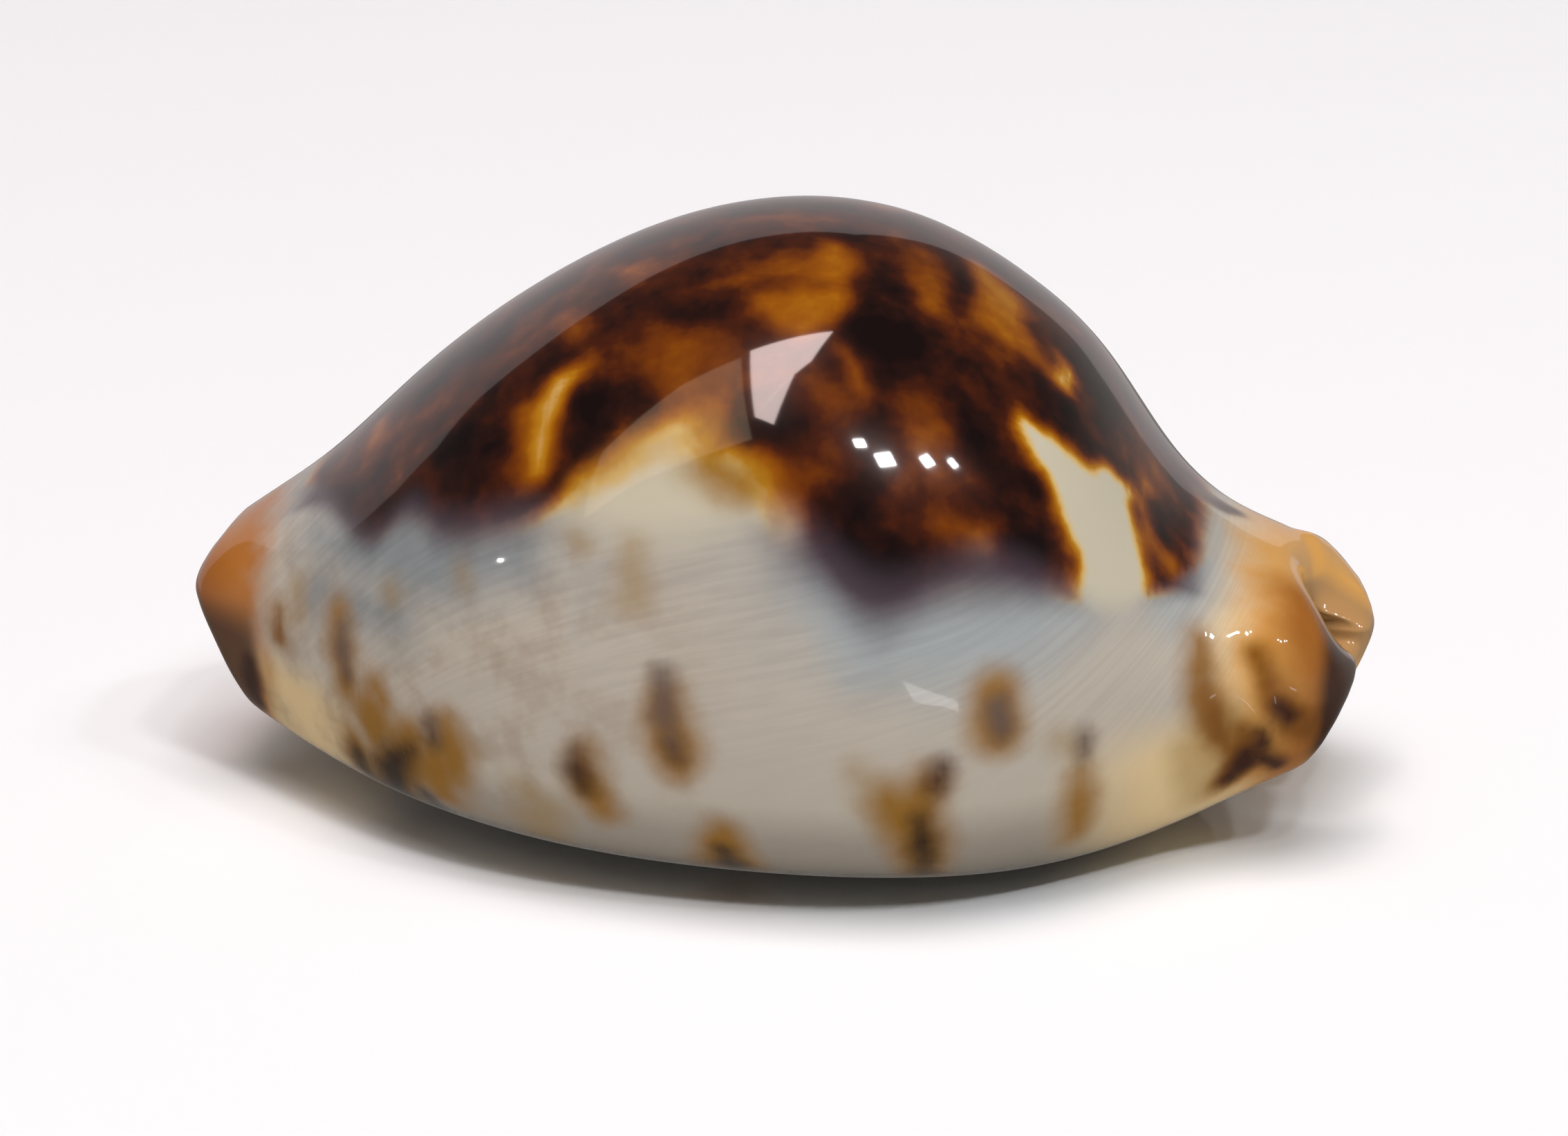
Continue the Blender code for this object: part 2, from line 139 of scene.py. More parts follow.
# How dense the dark back's pigment is: (density, softness in mm, strokes), later ones over it.
DENSITY_OF_BACK = 0.76
DENSITIES = (
    (0.60, 1.8, (
        ((-29.0, 2.15, 0.8), (-28.0, 2.28, 1.0)), ((-25.5, 2.32, 1.0), (-20.0, 2.30, 0.9)),
        ((-10.0, 2.34, 1.2), (-7.5, 2.38, 1.6)), ((-5.5, 2.18, 1.0), (-3.0, 2.21, 0.8)),
        ((-5.6, 2.36, 2.0), (-3.2, 2.42, 2.6), (-1.3, 2.45, 1.3)), ((7.2, 2.06, 0.8), (9.0, 2.07, 1.0)),
        ((10.5, 2.44, 1.2), (12.0, 2.50, 1.4), (10.5, 2.56, 1.0)),
        ((23.6, 2.03, 0.8), (25.4, 2.08, 1.0)), ((3.4, 2.44, 1.2), (6.0, 2.47, 1.2)),
        ((1.8, 2.60, 1.8), (4.6, 2.60, 1.6), (6.0, 2.52, 0.8)),
        ((-18.5, 1.95, 1.1), (-18.0, 2.08, 0.8)), ((-2.0, 2.05, 1.0), (1.5, 2.03, 1.1)),
        ((-13.2, 1.98, 0.8), (-12.5, 2.06, 0.8)), ((14.2, 2.26, 0.8), (16.5, 2.30, 0.8)),
        ((-23.0, 1.90, 1.4), (-24.5, 1.75, 1.0)), ((-10.0, 1.60, 1.4), (-7.0, 1.52, 1.0)),
        ((20.5, 1.80, 1.2), (22.5, 1.60, 1.0)), ((3.0, 1.48, 1.4), (0.5, 1.42, 1.0)),
        ((-8.0, 1.90, 1.3), (-5.5, 1.86, 1.0)),
    )),
    (0.44, 1.5, (
        ((-12.9, 2.23, 0.9), (-11.6, 2.29, 1.0)), ((-10.2, 2.12, 0.4), (-8.2, 2.18, 0.7)),
        ((-1.6, 2.25, 0.7), (1.5, 2.22, 1.2), (4.6, 2.19, 1.2)), ((-5.2, 2.37, 1.0), (-4.2, 2.43, 1.6)),
        ((-4.0, 2.46, 1.7), (-2.2, 2.485, 1.2)), ((9.8, 2.09, 1.1), (10.3, 2.20, 1.8)),
        ((12.9, 2.615, 1.0), (15.0, 2.62, 1.1)), ((11.0, 2.50, 0.7), (12.2, 2.47, 0.7)),
        ((1.0, 2.60, 1.4), (3.4, 2.59, 0.8)), ((24.7, 2.08, 0.7), (24.5, 2.20, 0.7)),
        ((13.2, 2.18, 1.6), (16.0, 2.18, 1.3), (18.4, 2.20, 0.8)),
        ((-14.3, 2.44, 0.8), (-14.3, 2.56, 0.9)), ((-19.5, 1.72, 1.4), (-17.5, 1.78, 1.0)),
        ((-2.0, 1.74, 1.5), (0.5, 1.70, 1.4)), ((14.5, 1.74, 1.5), (16.0, 1.66, 1.1)),
        ((6.0, 1.88, 1.0), (7.5, 1.84, 0.9)), ((-21.0, 1.55, 1.0), (-20.0, 1.48, 0.8)),
    )),
    (0.33, 1.2, (
        ((-26.0, 2.20, 0.8), (-25.8, 2.27, 0.8)),
        ((0.8, 2.30, 1.2), (2.6, 2.32, 1.9), (4.6, 2.29, 1.7)), ((4.2, 2.15, 0.9), (4.6, 2.22, 1.2)),
        ((12.9, 2.01, 1.0), (14.4, 2.06, 2.0), (14.4, 2.15, 1.8), (13.2, 2.17, 1.0)),
        ((15.2, 2.17, 1.0), (16.5, 2.175, 0.7)), ((5.9, 2.38, 0.3), (7.2, 2.44, 0.4)),
        ((24.8, 2.34, 0.8), (26.2, 2.40, 0.7)),
        ((24.2, 2.20, 0.3), (24.0, 2.28, 0.4), (24.5, 2.37, 0.6), (25.6, 2.40, 0.4)),
        ((18.6, 2.13, 0.6), (18.6, 2.22, 0.6)), ((0.2, 2.59, 0.8), (1.2, 2.63, 0.6)),
        ((-10.0, 2.605, 0.8), (-6.5, 2.56, 1.0), (-4.0, 2.525, 0.9)),
        ((1.6, 2.585, 0.9), (3.6, 2.66, 0.9)),
        ((-10.4, 2.375, 0.4), (-12.2, 2.40, 0.8), (-12.8, 2.46, 1.0), (-13.0, 2.56, 1.0)),
    )),
    (0.13, 1.2, (
        ((-11.2, 2.39, 0.1), (-12.0, 2.405, 0.3), (-12.6, 2.44, 0.5), (-12.8, 2.50, 0.5),
         (-12.8, 2.55, 0.3)),
    )),
    (0.97, 1.4, (
        ((8.0, 2.24, 1.4), (8.4, 2.32, 2.2), (9.0, 2.39, 1.0)), ((-5.0, 2.30, 0.8), (-2.0, 2.30, 0.7)),
        ((16.6, 2.27, 1.1), (19.0, 2.30, 1.3)), ((21.6, 2.06, 0.9), (21.3, 2.18, 1.1)),
        ((7.4, 2.16, 0.4), (7.6, 2.24, 1.0)), ((6.6, 2.64, 1.4), (8.8, 2.69, 2.1)),
        ((16.8, 2.52, 1.2), (17.6, 2.60, 1.4)), ((13.0, 2.40, 0.8), (14.6, 2.46, 0.9)),
        ((2.6, 2.52, 0.5), (3.8, 2.51, 0.6)),
        ((-10.2, 2.45, 0.5), (-8.0, 2.48, 1.6), (-9.8, 2.54, 0.5)),
        ((-19.5, 2.44, 1.9), (-16.8, 2.48, 1.4)), ((-22.5, 2.20, 1.0), (-18.0, 2.16, 1.0)),
        ((25.4, 2.25, 0.5), (25.5, 2.32, 0.5)), ((12.3, 2.12, 0.2), (12.2, 2.20, 0.3)),
        ((-14.0, 1.80, 1.5), (-10.5, 1.76, 1.2)), ((9.0, 1.68, 1.6), (5.5, 1.60, 1.4)),
        ((-25.5, 1.60, 1.0), (-24.0, 1.52, 0.8)), ((17.5, 1.45, 1.4), (14.5, 1.50, 1.0)),
    )),
)

# Where the milky layer turns blue-grey over the dark back.
BLUISH = (
    ((5.5, 2.74, 0.8), (8.5, 2.80, 2.2), (12.5, 2.80, 2.4), (17.5, 2.76, 2.2), (20.0, 2.72, 1.2)),
    ((-29.5, 2.55, 0.6), (-25.0, 2.64, 1.4), (-22.5, 2.66, 2.0), (-19.5, 2.69, 1.8),
     (-14.0, 2.70, 1.0)),
    ((-28.5, 2.75, 0.6), (-22.0, 2.80, 0.8)),
    ((26.4, 2.56, 0.6), (27.8, 2.36, 0.2), (27.6, 2.10, 0.2)),
    ((-5.0, 1.36, 1.5), (4.0, 1.40, 1.8), (12.0, 1.44, 1.8), (20.0, 1.42, 1.2)),
    ((-26.0, 1.56, 1.2), (-18.0, 1.44, 1.6)),
)

# Soft golden haze on the pale ground, amber spots, and dark spots.
HAZE = (
    ((-3.0, 2.585, 0.6), (-0.6, 2.60, 0.9), (0.6, 2.62, 0.6)),
    ((-9.6, 2.60, 0.4), (-6.0, 2.55, 0.5), (-2.0, 2.53, 0.4)),
    ((-6.2, 2.70, 0.4), (-6.0, 2.77, 0.6)),
    ((-9.8, 2.68, 0.1), (-9.4, 2.69, 0.1)),
    ((-22.9, 2.74, 0.1), (-22.6, 2.76, 0.1)),
    ((-30.4, 2.73, 0.3), (-30.2, 2.84, 0.4)),
    ((-17.6, 2.71, 0.1), (-17.3, 2.73, 0.1)),
    ((-13.5, 3.20, 0.6), (-11.8, 3.28, 0.9), (-12.5, 3.45, 1.4)),
    ((8.0, 3.03, 0.3), (9.6, 3.12, 0.9), (10.4, 3.22, 0.9)),
    ((20.0, 2.99, 0.3), (21.0, 3.02, 0.5)),
    ((15.6, 2.95, 0.5), (17.0, 2.97, 0.5)),
    ((-24.5, 3.12, 0.6), (-21.0, 3.22, 1.8), (-18.6, 3.18, 0.8)),
    ((27.6, 3.16, 0.8), (28.4, 3.26, 1.4), (28.6, 3.40, 1.2)),
    ((30.4, 3.04, 0.7), (30.8, 3.14, 0.7)),
    ((-33.0, 3.20, 0.2), (-33.2, 3.40, 0.4)),
    ((-28.5, 1.20, 0.8), (-27.0, 0.92, 1.0)),
    ((4.5, 1.02, 0.8), (6.5, 0.86, 1.2)),
)
AMBER_SPOTS = (
    ((-26.9, 2.81, 0.6), (-26.6, 2.92, 0.9), (-26.2, 3.04, 0.8)),
    ((-1.6, 2.585, 0.3), (0.6, 2.61, 0.5)),
    ((-31.9, 2.86, 0.1), (-31.8, 2.98, 0.2)),
    ((-23.9, 2.99, 0.4), (-23.3, 3.03, 0.5)),
    ((-24.3, 3.09, 0.75), (-24.1, 3.16, 0.95), (-24.2, 3.22, 0.65)),
    ((-21.4, 3.12, 0.75), (-21.8, 3.24, 1.4), (-23.0, 3.36, 1.6), (-23.4, 3.6, 1.6)),
    ((-19.4, 3.16, 0.75), (-19.5, 3.24, 1.1), (-19.3, 3.36, 0.85)),
    ((-18.6, 3.04, 0.65), (-18.2, 3.15, 1.1), (-18.2, 3.24, 0.75)),
    ((-25.9, 3.31, 0.75), (-25.7, 3.42, 0.95)),
    ((-9.3, 3.05, 0.6), (-8.9, 3.15, 0.8), (-8.2, 3.22, 0.5)),
    ((-3.9, 2.92, 0.8), (-3.3, 3.00, 1.1), (-3.1, 3.04, 0.7)),
    ((-0.2, 3.26, 0.3), (-0.5, 3.33, 0.8), (-0.5, 3.45, 1.4), (-0.4, 3.60, 1.2)),
    ((12.4, 3.08, 0.8), (11.4, 3.18, 1.3), (11.8, 3.30, 1.2), (11.9, 3.50, 0.9)),
    ((10.0, 3.12, 0.5), (11.0, 3.20, 0.7)),
    ((16.3, 2.88, 1.0), (16.6, 2.95, 1.2)),
    ((21.5, 3.14, 0.5), (21.4, 3.22, 0.7), (21.1, 3.38, 0.5)),
    ((28.3, 2.66, 0.2), (28.4, 2.80, 0.35), (28.6, 2.92, 0.45), (29.1, 3.04, 0.5), (29.6, 3.14, 0.4),
     (30.2, 3.22, 0.2)),
    ((31.6, 2.74, 0.3), (32.4, 2.90, 0.4), (32.7, 3.00, 0.6), (33.9, 3.12, 0.8), (35.0, 3.24, 0.6)),
    ((30.9, 3.12, 0.3), (31.3, 3.20, 0.6), (31.0, 3.30, 0.7), (30.2, 3.42, 0.6)),
    ((-27.6, 1.22, 0.7), (-27.0, 1.00, 1)),
    ((-20.6, 1.02, 0.8), (-19.6, 0.88, 1.2)),
    ((-12.4, 0.95, 0.9), (-11.6, 0.80, 1.1)),
    ((-5.4, 1.05, 0.8), (-5.0, 0.95, 0.9)),
    ((-1.2, 0.80, 1.1), (-0.8, 0.56, 1.3)),
    ((6.2, 1.00, 0.9), (6.8, 0.86, 1)),
    ((14.0, 0.84, 1), (14.4, 0.58, 1.2)),
    ((20.4, 1.00, 0.8), (20.0, 0.86, 1)),
    ((27.2, 0.84, 0.9), (27.6, 0.64, 1)),
)
DARK_SPOTS = (
    ((27.4, 1.90, 0.58), (28.6, 1.86, 0.68), (29.6, 1.83, 0.38)),
    ((-26.5, 2.86, 0.23), (-26.5, 2.92, 0.33), (-26.2, 2.99, 0.23)),
    ((-19.7, 3.05, 0.2), (-19.6, 3.10, 0.23)),
    ((-21.4, 3.19, 0.2), (-22.6, 3.28, 0.6), (-23.1, 3.38, 0.9), (-23.2, 3.55, 1.0), (-23.5, 3.8, 0.7)),
    ((-20.8, 3.42, 0.3), (-20.0, 3.56, 0.6)),
    ((-25.8, 3.36, 0.2), (-25.6, 3.48, 0.33)),
    ((-34.6, 3.24, 0.2), (-34.5, 3.36, 0.53), (-34.2, 3.52, 0.43)),
    ((-9.7, 3.04, 0.2), (-9.6, 3.09, 0.43), (-9.3, 3.15, 0.23)),
    ((-4.1, 2.88, 0.2), (-3.8, 2.94, 0.48)),
    ((16.5, 2.91, 0.38), (16.8, 2.95, 0.48)),
    ((21.7, 3.00, 0.2), (21.7, 3.04, 0.2)),
    ((-3.4, 2.99, 0.2), (-3.2, 3.02, 0.2)),
    ((-0.5, 3.38, 0.2), (-0.4, 3.48, 0.43), (-0.4, 3.60, 0.43)),
    ((13.3, 3.03, 0.2), (12.9, 3.07, 0.33)),
    ((11.9, 3.20, 0.2), (12.0, 3.30, 0.33), (11.9, 3.50, 0.33)),
    ((31.9, 3.15, 0.2), (32.1, 3.22, 0.33)),
    ((31.2, 3.28, 0.2), (31.1, 3.34, 0.33), (30.3, 3.42, 0.33)),
    ((32.3, 3.34, 0.2), (33.2, 3.44, 0.43)),
    ((33.0, 3.02, 0.2), (33.7, 3.10, 0.23)),
    ((-27.5, 1.14, 0.2), (-27.0, 1.05, 0.33)),
    ((-20.5, 1.04, 0.2), (-20.0, 0.95, 0.43)),
    ((-21.5, 0.70, 0.53), (-21.0, 0.58, 0.43)),
    ((-12.6, 1.00, 0.23), (-12.2, 0.90, 0.43)),
    ((-1.5, 0.83, 0.33), (-1.0, 0.66, 0.53)),
    ((6.0, 1.06, 0.2), (6.2, 0.98, 0.43)),
    ((14.0, 0.86, 0.23), (14.2, 0.66, 0.43)),
    ((27.0, 0.88, 0.23), (27.4, 0.72, 0.33)),
)

# Rust brown at the ends, and the near-black brown of the back rim.
RUST = (
    ((-39.0, 2.9, 1.6), (-38.0, 3.3, 2.0), (-36.5, 3.7, 1.6)),
    ((34.0, 2.42, 0.8), (35.2, 2.60, 1.6), (36.0, 2.80, 1.8), (36.4, 3.0, 1.8), (36.2, 3.25, 1.5)),
    ((35.4, 3.34, 1.1), (33.8, 3.50, 1.0)),
)
RIM_BROWN = (
    ((35.8, 2.36, 0.2), (36.8, 2.52, 1.0), (37.5, 2.75, 1.6), (37.6, 3.00, 2.0), (37.2, 3.25, 1.9),
     (36.4, 3.48, 1.2)),
)

# Low folds in the surface of the ends: (height in mm, strokes).
FOLDS = (
    (0.50, (
        ((35.3, 1.62, 0.7), (36.4, 1.44, 1.3), (37.2, 1.28, 1.2)),
    )),
    (-0.30, (
        ((31.6, 2.72, 0.2), (32.4, 2.90, 0.3), (33.2, 3.04, 0.3), (34.6, 3.18, 0.3)),
    )),
    (0.45, (
        ((31.0, 2.95, 0.6), (31.8, 3.08, 0.5)),
        ((33.0, 2.72, 0.8), (34.2, 2.92, 0.8), (35.2, 3.06, 0.5)),
    )),
    (-0.25, (
        ((28.2, 2.60, 0.3), (28.6, 2.90, 0.4), (29.4, 3.10, 0.3)),
    )),
)

# Where the inner face of the lip's back end stands plump, and by how much.
PLUMP_LIP = (((32.0, 1.05, 3.0), (38.0, 1.05, 3.0)),)
PLUMP_MM = 0.7

# How softly the painted parts fade, in millimetres or, for the milk's edges, in places round.
STROKE_SOFTNESS = 0.35
DEEPEST_STROKE = 9
DEEPEST_BACK = 20
MILK_FADES = (-0.07, 0.035)
FOLD_FADES = (-1.8, 0.7)
PLUMP_FADES = (-2.4, 1.0)
PLUMP_FULL_WALL = 4
THINNEST_WALL = 0.1

# The milk covers both ends of the shell, this far (start, end) either side of its middle.
MILK_MIDDLE = -1.7
MILK_ENDS = (28.4, 30.6)
# The dark back's near edge is hazier between these places along X.
HAZY_EDGE_STARTS = (-12.5, -9.5)
HAZY_EDGE_ENDS = (2, 6)
HAZY_EDGE_SHARE = 0.5
# How steeply the fine lines of the sides climb, as (place along X, rise over run).
LINE_SLANT = ((-34, 1.3), (-26, 1.1), (-15, 0.5), (0, 0.25), (12, 0.22), (24, 0.9), (30, 1.6))
# How closely the lines lie across themselves and along themselves, per millimetre.
LINES_PER_MM = (2.3, 0.16, 1)

# Where the surface's points lie: rows round the section and the even step along the length.
LIP_ROWS = (0, 0.04, 0.1, 0.18, 0.28, 0.4, 0.55, 0.7, 0.85, 1.0, 1.2)
WHORL_START = SPANS - WHORL_STEPS + 1
ROW_RUNS = ((1.4, 13.0, 0.17), (13.0, 18.4, 0.07), (18.4, WHORL_START, 0.14))
WHORL_ROWS = 20
INNER_REACH = 31.25
TABLE_REACH = 40
TABLE_STEP = 0.25

# The painted fields that are made of strokes.
STROKE_FIELDS = {"bluish": BLUISH, "haze": HAZE, "amber_spot": AMBER_SPOTS, "dark_spot": DARK_SPOTS,
                 "rust": RUST, "rim_brown": RIM_BROWN}

# Colours of the enamel, and its gloss. Aragonite has an IOR of about 1.6, and the thin, duller coat
# gives each bright reflection a soft edge.
BACK_COLOURS = ((0.00, "#C1BAA5"), (0.10, "#CCAC6A"), (0.22, "#AF7714"), (0.36, "#8D4E02"),
                (0.52, "#6A3204"), (0.68, "#421907"), (0.84, "#240D08"), (1.0, "#110505"))
# The milky ramp's last stops darken the sides low toward the base: painted shade near the ground.
MILK_COLOURS_WITH_LOW_SHADE = ((0.0, "#B6AEA1"), (0.3, "#B8B0A3"), (0.5, "#BCB4A5"), (0.7, "#9F9688"), (1.0, "#857C6E"))
SPOT_COLOURS = ((0.0, "#5E4E48"), (0.3, "#4A2E1C"), (0.6, "#3A1E0A"), (1.0, "#190802"))
CREAM = "#DFC594"
TAN = "#9A8873"
GREY = "#8E9499"
BLUE_GREY_FRONT = "#7B8489"
BLUE_GREY_BACK = "#9CA4A7"
PURPLISH = "#4A3F48"
GOLDEN_HAZE = "#96742E"
AMBER = "#906310"
FRONT_ORANGE = "#A8661F"
BACK_ORANGE = "#D29A4A"
RUST_BROWN = "#8A4C10"
# Painted shade: the dark grey-brown of the lower part of the front end.
FRONT_PAINTED_SHADE = "#4E3828"
DARK_RIM = "#2C1206"
END_AMBER = "#74440A"
END_BROWN = "#33150A"
INNER_FACE = "#B08858"
ENAMEL_GLOSS = {"Roughness": 0.05, "IOR": 1.6, "Coat Weight": 0.12, "Coat Roughness": 0.24}
BROAD_CLOUDS = {"Scale": 0.28, "Detail": 3.0, "Roughness": 0.55}
FINE_CLOUDS = {"Scale": 0.75, "Detail": 2.0, "Roughness": 0.45}

# Settings that many nodes share.
TIMES = {"operation": "MULTIPLY"}
TIMES_ADD = {"operation": "MULTIPLY_ADD"}
PLUS = {"operation": "ADD", "use_clamp": True}
SMOOTH = {"interpolation_type": "SMOOTHSTEP"}
COLOURS = {"data_type": "RGBA"}

# The room's glow by height of direction: (from, to, value at the end, value at the start).
ROOM_WHITE = "#FFFAF4"
ROOM_GLOW = (0.55, -0.05, 0.26, 0.06)
ROOM_BELOW = (-0.1, -0.7, 0.5, 1.0)
FLOOR_WHITE = "#EEF1F5"
FLOOR_REACH = 2000

# What the gloss mirrors, as directions from the shell: the top edge of the white card that stands
# round the far side, the corners of the window above, those of the dim shelf to its left, and
# those of a gleam low on the near side. All stand this far off, and the white card's foot is low.
LAMP_DISTANCE = 1500
CARD_TOP = (
    (-0.94, 0.30, 0.18), (-0.91, 0.30, 0.31), (-0.85, 0.36, 0.41), (-0.75, 0.48, 0.45),
    (-0.66, 0.56, 0.51), (-0.55, 0.63, 0.55), (-0.37, 0.73, 0.57), (-0.19, 0.80, 0.57),
    (0.02, 0.85, 0.53), (0.12, 0.90, 0.41), (0.18, 0.94, 0.30), (0.25, 0.95, 0.19),
    (0.34, 0.94, 0.02), (0.27, 0.96, -0.10),
)
CARD_FOOT = -300
WINDOW = ((-0.24, -0.02, 0.97), (0.08, 0.16, 0.98), (0.0, -0.07, 1.0), (-0.07, -0.17, 0.98),
          (-0.15, -0.46, 0.87), (-0.22, -0.42, 0.88))
SHELF = ((-0.23, -0.53, 0.82), (-0.39, -0.57, 0.72), (-0.53, -0.58, 0.62), (-0.65, -0.59, 0.47),
         (-0.64, -0.36, 0.68), (-0.44, -0.16, 0.88), (-0.27, -0.06, 0.96))
LOW_GLEAM = ((0.36, -0.93, -0.03), (0.60, -0.79, -0.11), (0.60, -0.79, -0.16), (0.40, -0.91, -0.10))
MIRRORED = (("window_above", WINDOW, 10.0, "#FFE8E4"), ("shelf_light", SHELF, 1.3, "#FFE4C4"),
            ("low_gleam", LOW_GLEAM, 2.5, "#FFFFFF"))
# Small lamps: (direction, (width, height)) each, aimed at a point on the near side of the hump.
LAMPS = (((0.24, -0.46, 0.86), (90, 60)), ((0.37, -0.47, 0.81), (150, 95)),
         ((0.56, -0.31, 0.77), (100, 70)), ((0.65, -0.20, 0.73), (60, 50)),
         ((-0.85, -0.46, 0.26), (30, 14)))
LAMPS_AIM = (8, -18, 30)
LAMP_BRIGHTNESS = 90
# The overhead fill: centre, long side, facing, size and brightness.
OVERHEAD_FILL = ((-80, -450, 2100), (1, 0, 0), (0.02, 0.2, -1), (1600, 1400), 5.2)

# The photograph's view: degrees round toward the blunt end and degrees up, in millimetres away,
# with a long lens, aimed a little right of and below a point in the middle of the shell.
VIEW_TURN = 8
VIEW_RISE = 20
VIEW_DISTANCE = 300.0
VIEW_LENS = 103.8
AIM_HEIGHT = 16
AIM_RIGHT = 0.115
AIM_DOWN = 0.72


def curve(outline, place):
    """The value at each place of a natural cubic spline through an outline's points."""
    knots, values = np.array(outline, float).T
    gaps = np.diff(knots)
    slopes = np.diff(values) / gaps
    matrix = np.eye(len(knots))
    right = np.zeros(len(knots))
    for i in range(1, len(knots) - 1):
        matrix[i, i - 1:i + 2] = gaps[i - 1], 2 * (gaps[i - 1] + gaps[i]), gaps[i]
        right[i] = 6 * (slopes[i] - slopes[i - 1])
    bends = np.linalg.solve(matrix, right)
    k = np.clip(np.searchsorted(knots, place) - 1, 0, len(gaps) - 1)
    gap = gaps[k]
    after = place - knots[k]
    before = knots[k + 1] - place
    low = bends[k] * (before**3 / gap - gap * before) / 6 + values[k] * before / gap
    high = bends[k + 1] * (after**3 / gap - gap * after) / 6 + values[k + 1] * after / gap
    return low + high


def quarter(centre, margin, middle, end, degrees, fullness):
    """A point on a quarter ellipse from its margin (0 degrees) to its top or bottom end (90)."""
    angle = math.radians(degrees)
    reach = 1 + fullness * math.sin(2 * angle) ** 2
    across = centre + (margin - centre) * math.cos(angle) * reach
    return across, middle + (end - middle) * math.sin(angle) * reach


def section(x):
    """Control points (place round, y, z) of the sections at x, from the lip edge inward."""
    top, middle, bottom = curve(TOP, x), curve(MIDDLE, x), curve(BOTTOM, x)
    lip, coil = curve(LIP_SIDE, x), -curve(COIL_SIDE, x)
    edge = curve(SLOT_CENTRE, x) + curve(SLOT_WIDTH, x) / 2
    wide, tall = curve(WHORL_WIDTH, x), curve(WHORL_HEIGHT, x)
    whorl = edge - curve(SLOT_WIDTH, x) - wide
    turn = curve(WHORL_TURN, x)
    points = [(0, 2 * edge - quarter(edge, lip, middle, bottom, LOWER_ANGLES[1], 0)[0], bottom)]
    for degrees in LOWER_ANGLES:
        points.append((1 - degrees / 90, *quarter(edge, lip, middle, bottom, degrees, FULL_BASE)))
    for degrees in UPPER_ANGLES:
        points.append((1 + degrees / 90, *quarter(CROWN, lip, middle, top, degrees, FULL_SIDE)))
    points.append((2, CROWN, top))
    for degrees in reversed(UPPER_ANGLES):
        points.append((3 - degrees / 90, *quarter(CROWN, coil, middle, top, degrees, FULL_SIDE)))
    for degrees in reversed(LOWER_ANGLES[2:]):
        points.append((3 + degrees / 90, *quarter(whorl, coil, middle, bottom, degrees, FULL_BASE)))
    for step in range(WHORL_STEPS + 2):
        angle = np.radians(turn) * step / WHORL_STEPS
        across = whorl + wide * np.sin(angle)
        points.append((4 + turn / 90 * step / WHORL_STEPS, across, bottom + tall * (1 - np.cos(angle))))
    return np.array([np.broadcast_arrays(place + 0 * x, y, z) for place, y, z in points])


def along_row(s, x):
    """Points (place round, y, z) at the places x of the line that runs the shell's length at s."""
    span = min(int(s), SPANS - 1)
    t = s - span
    weights = np.array([(1 - t) ** 3, 3 * t**3 - 6 * t**2 + 4, -3 * t**3 + 3 * t**2 + 3 * t + 1, t**3])
    return np.tensordot(weights / 6, section(x)[span:span + 4], axes=1)


def places_along(front, back, inner, rounding, between):
    """Places along X from rim to rim: close together at the rounded rims, then the inner places."""
    steps = RIM_RADIUS * (1 - np.cos(np.linspace(0, math.pi / 2, rounding + 1)))
    first = np.linspace(front + RIM_RADIUS, inner[0], between + 2)[1:-1]
    last = np.linspace(inner[-1], back - RIM_RADIUS, between + 2)[1:-1]
    return np.concatenate([front + steps, first, inner, last, back - steps[::-1]])


def sheet_grid(rows, inner, rounding, between):
    """The outer face of the wall as a grid of points, and each point's place round the section."""
    points, rounds = [], []
    for s in rows:
        front = curve(FRONT_RIM, along_row(s, np.array([-38.0]))[0])[0]
        back = curve(BACK_RIM, along_row(s, np.array([38.0]))[0])[0]
        x = places_along(front, back, inner, rounding, between)
        place, y, z = along_row(s, x)
        points.append(np.stack([x, y, z], axis=1))
        rounds.append(place)
    return np.array(points), np.array(rounds)


def unit(vectors):
    return vectors / np.linalg.norm(vectors, axis=-1, keepdims=True)


def outward(grid):
    return unit(np.cross(np.gradient(grid, axis=0), np.gradient(grid, axis=1)))


def swollen(grid):
    """The grid with the callus swellings raised on it."""
    normals = outward(grid)
    rise = np.zeros(grid.shape[:2])
    for centre, reach, height in SWELLS:
        rise += height * np.exp(-(((grid - centre) / reach) ** 2).sum(axis=-1))
    return grid + normals * rise[..., None]


def smooth_step(value, start, end):
    t = np.clip((value - start) / (end - start), 0, 1)
    return t * t * (3 - 2 * t)


def distance_from_edge(grid, axis):
    """How far each point is from the grid's first line along an axis, measured on the sheet."""
    steps = np.linalg.norm(np.diff(grid, axis=axis), axis=-1)
    padding = [(0, 0), (0, 0)]
    padding[axis] = (1, 0)
    return np.cumsum(np.pad(steps, padding), axis=axis)


def rounded(distance, radius):
    """How much of the wall's half thickness is left near a rounded edge: 0 at the edge, then 1."""
    return np.sqrt(1 - (1 - np.clip(distance / radius, 0, 1)) ** 2)


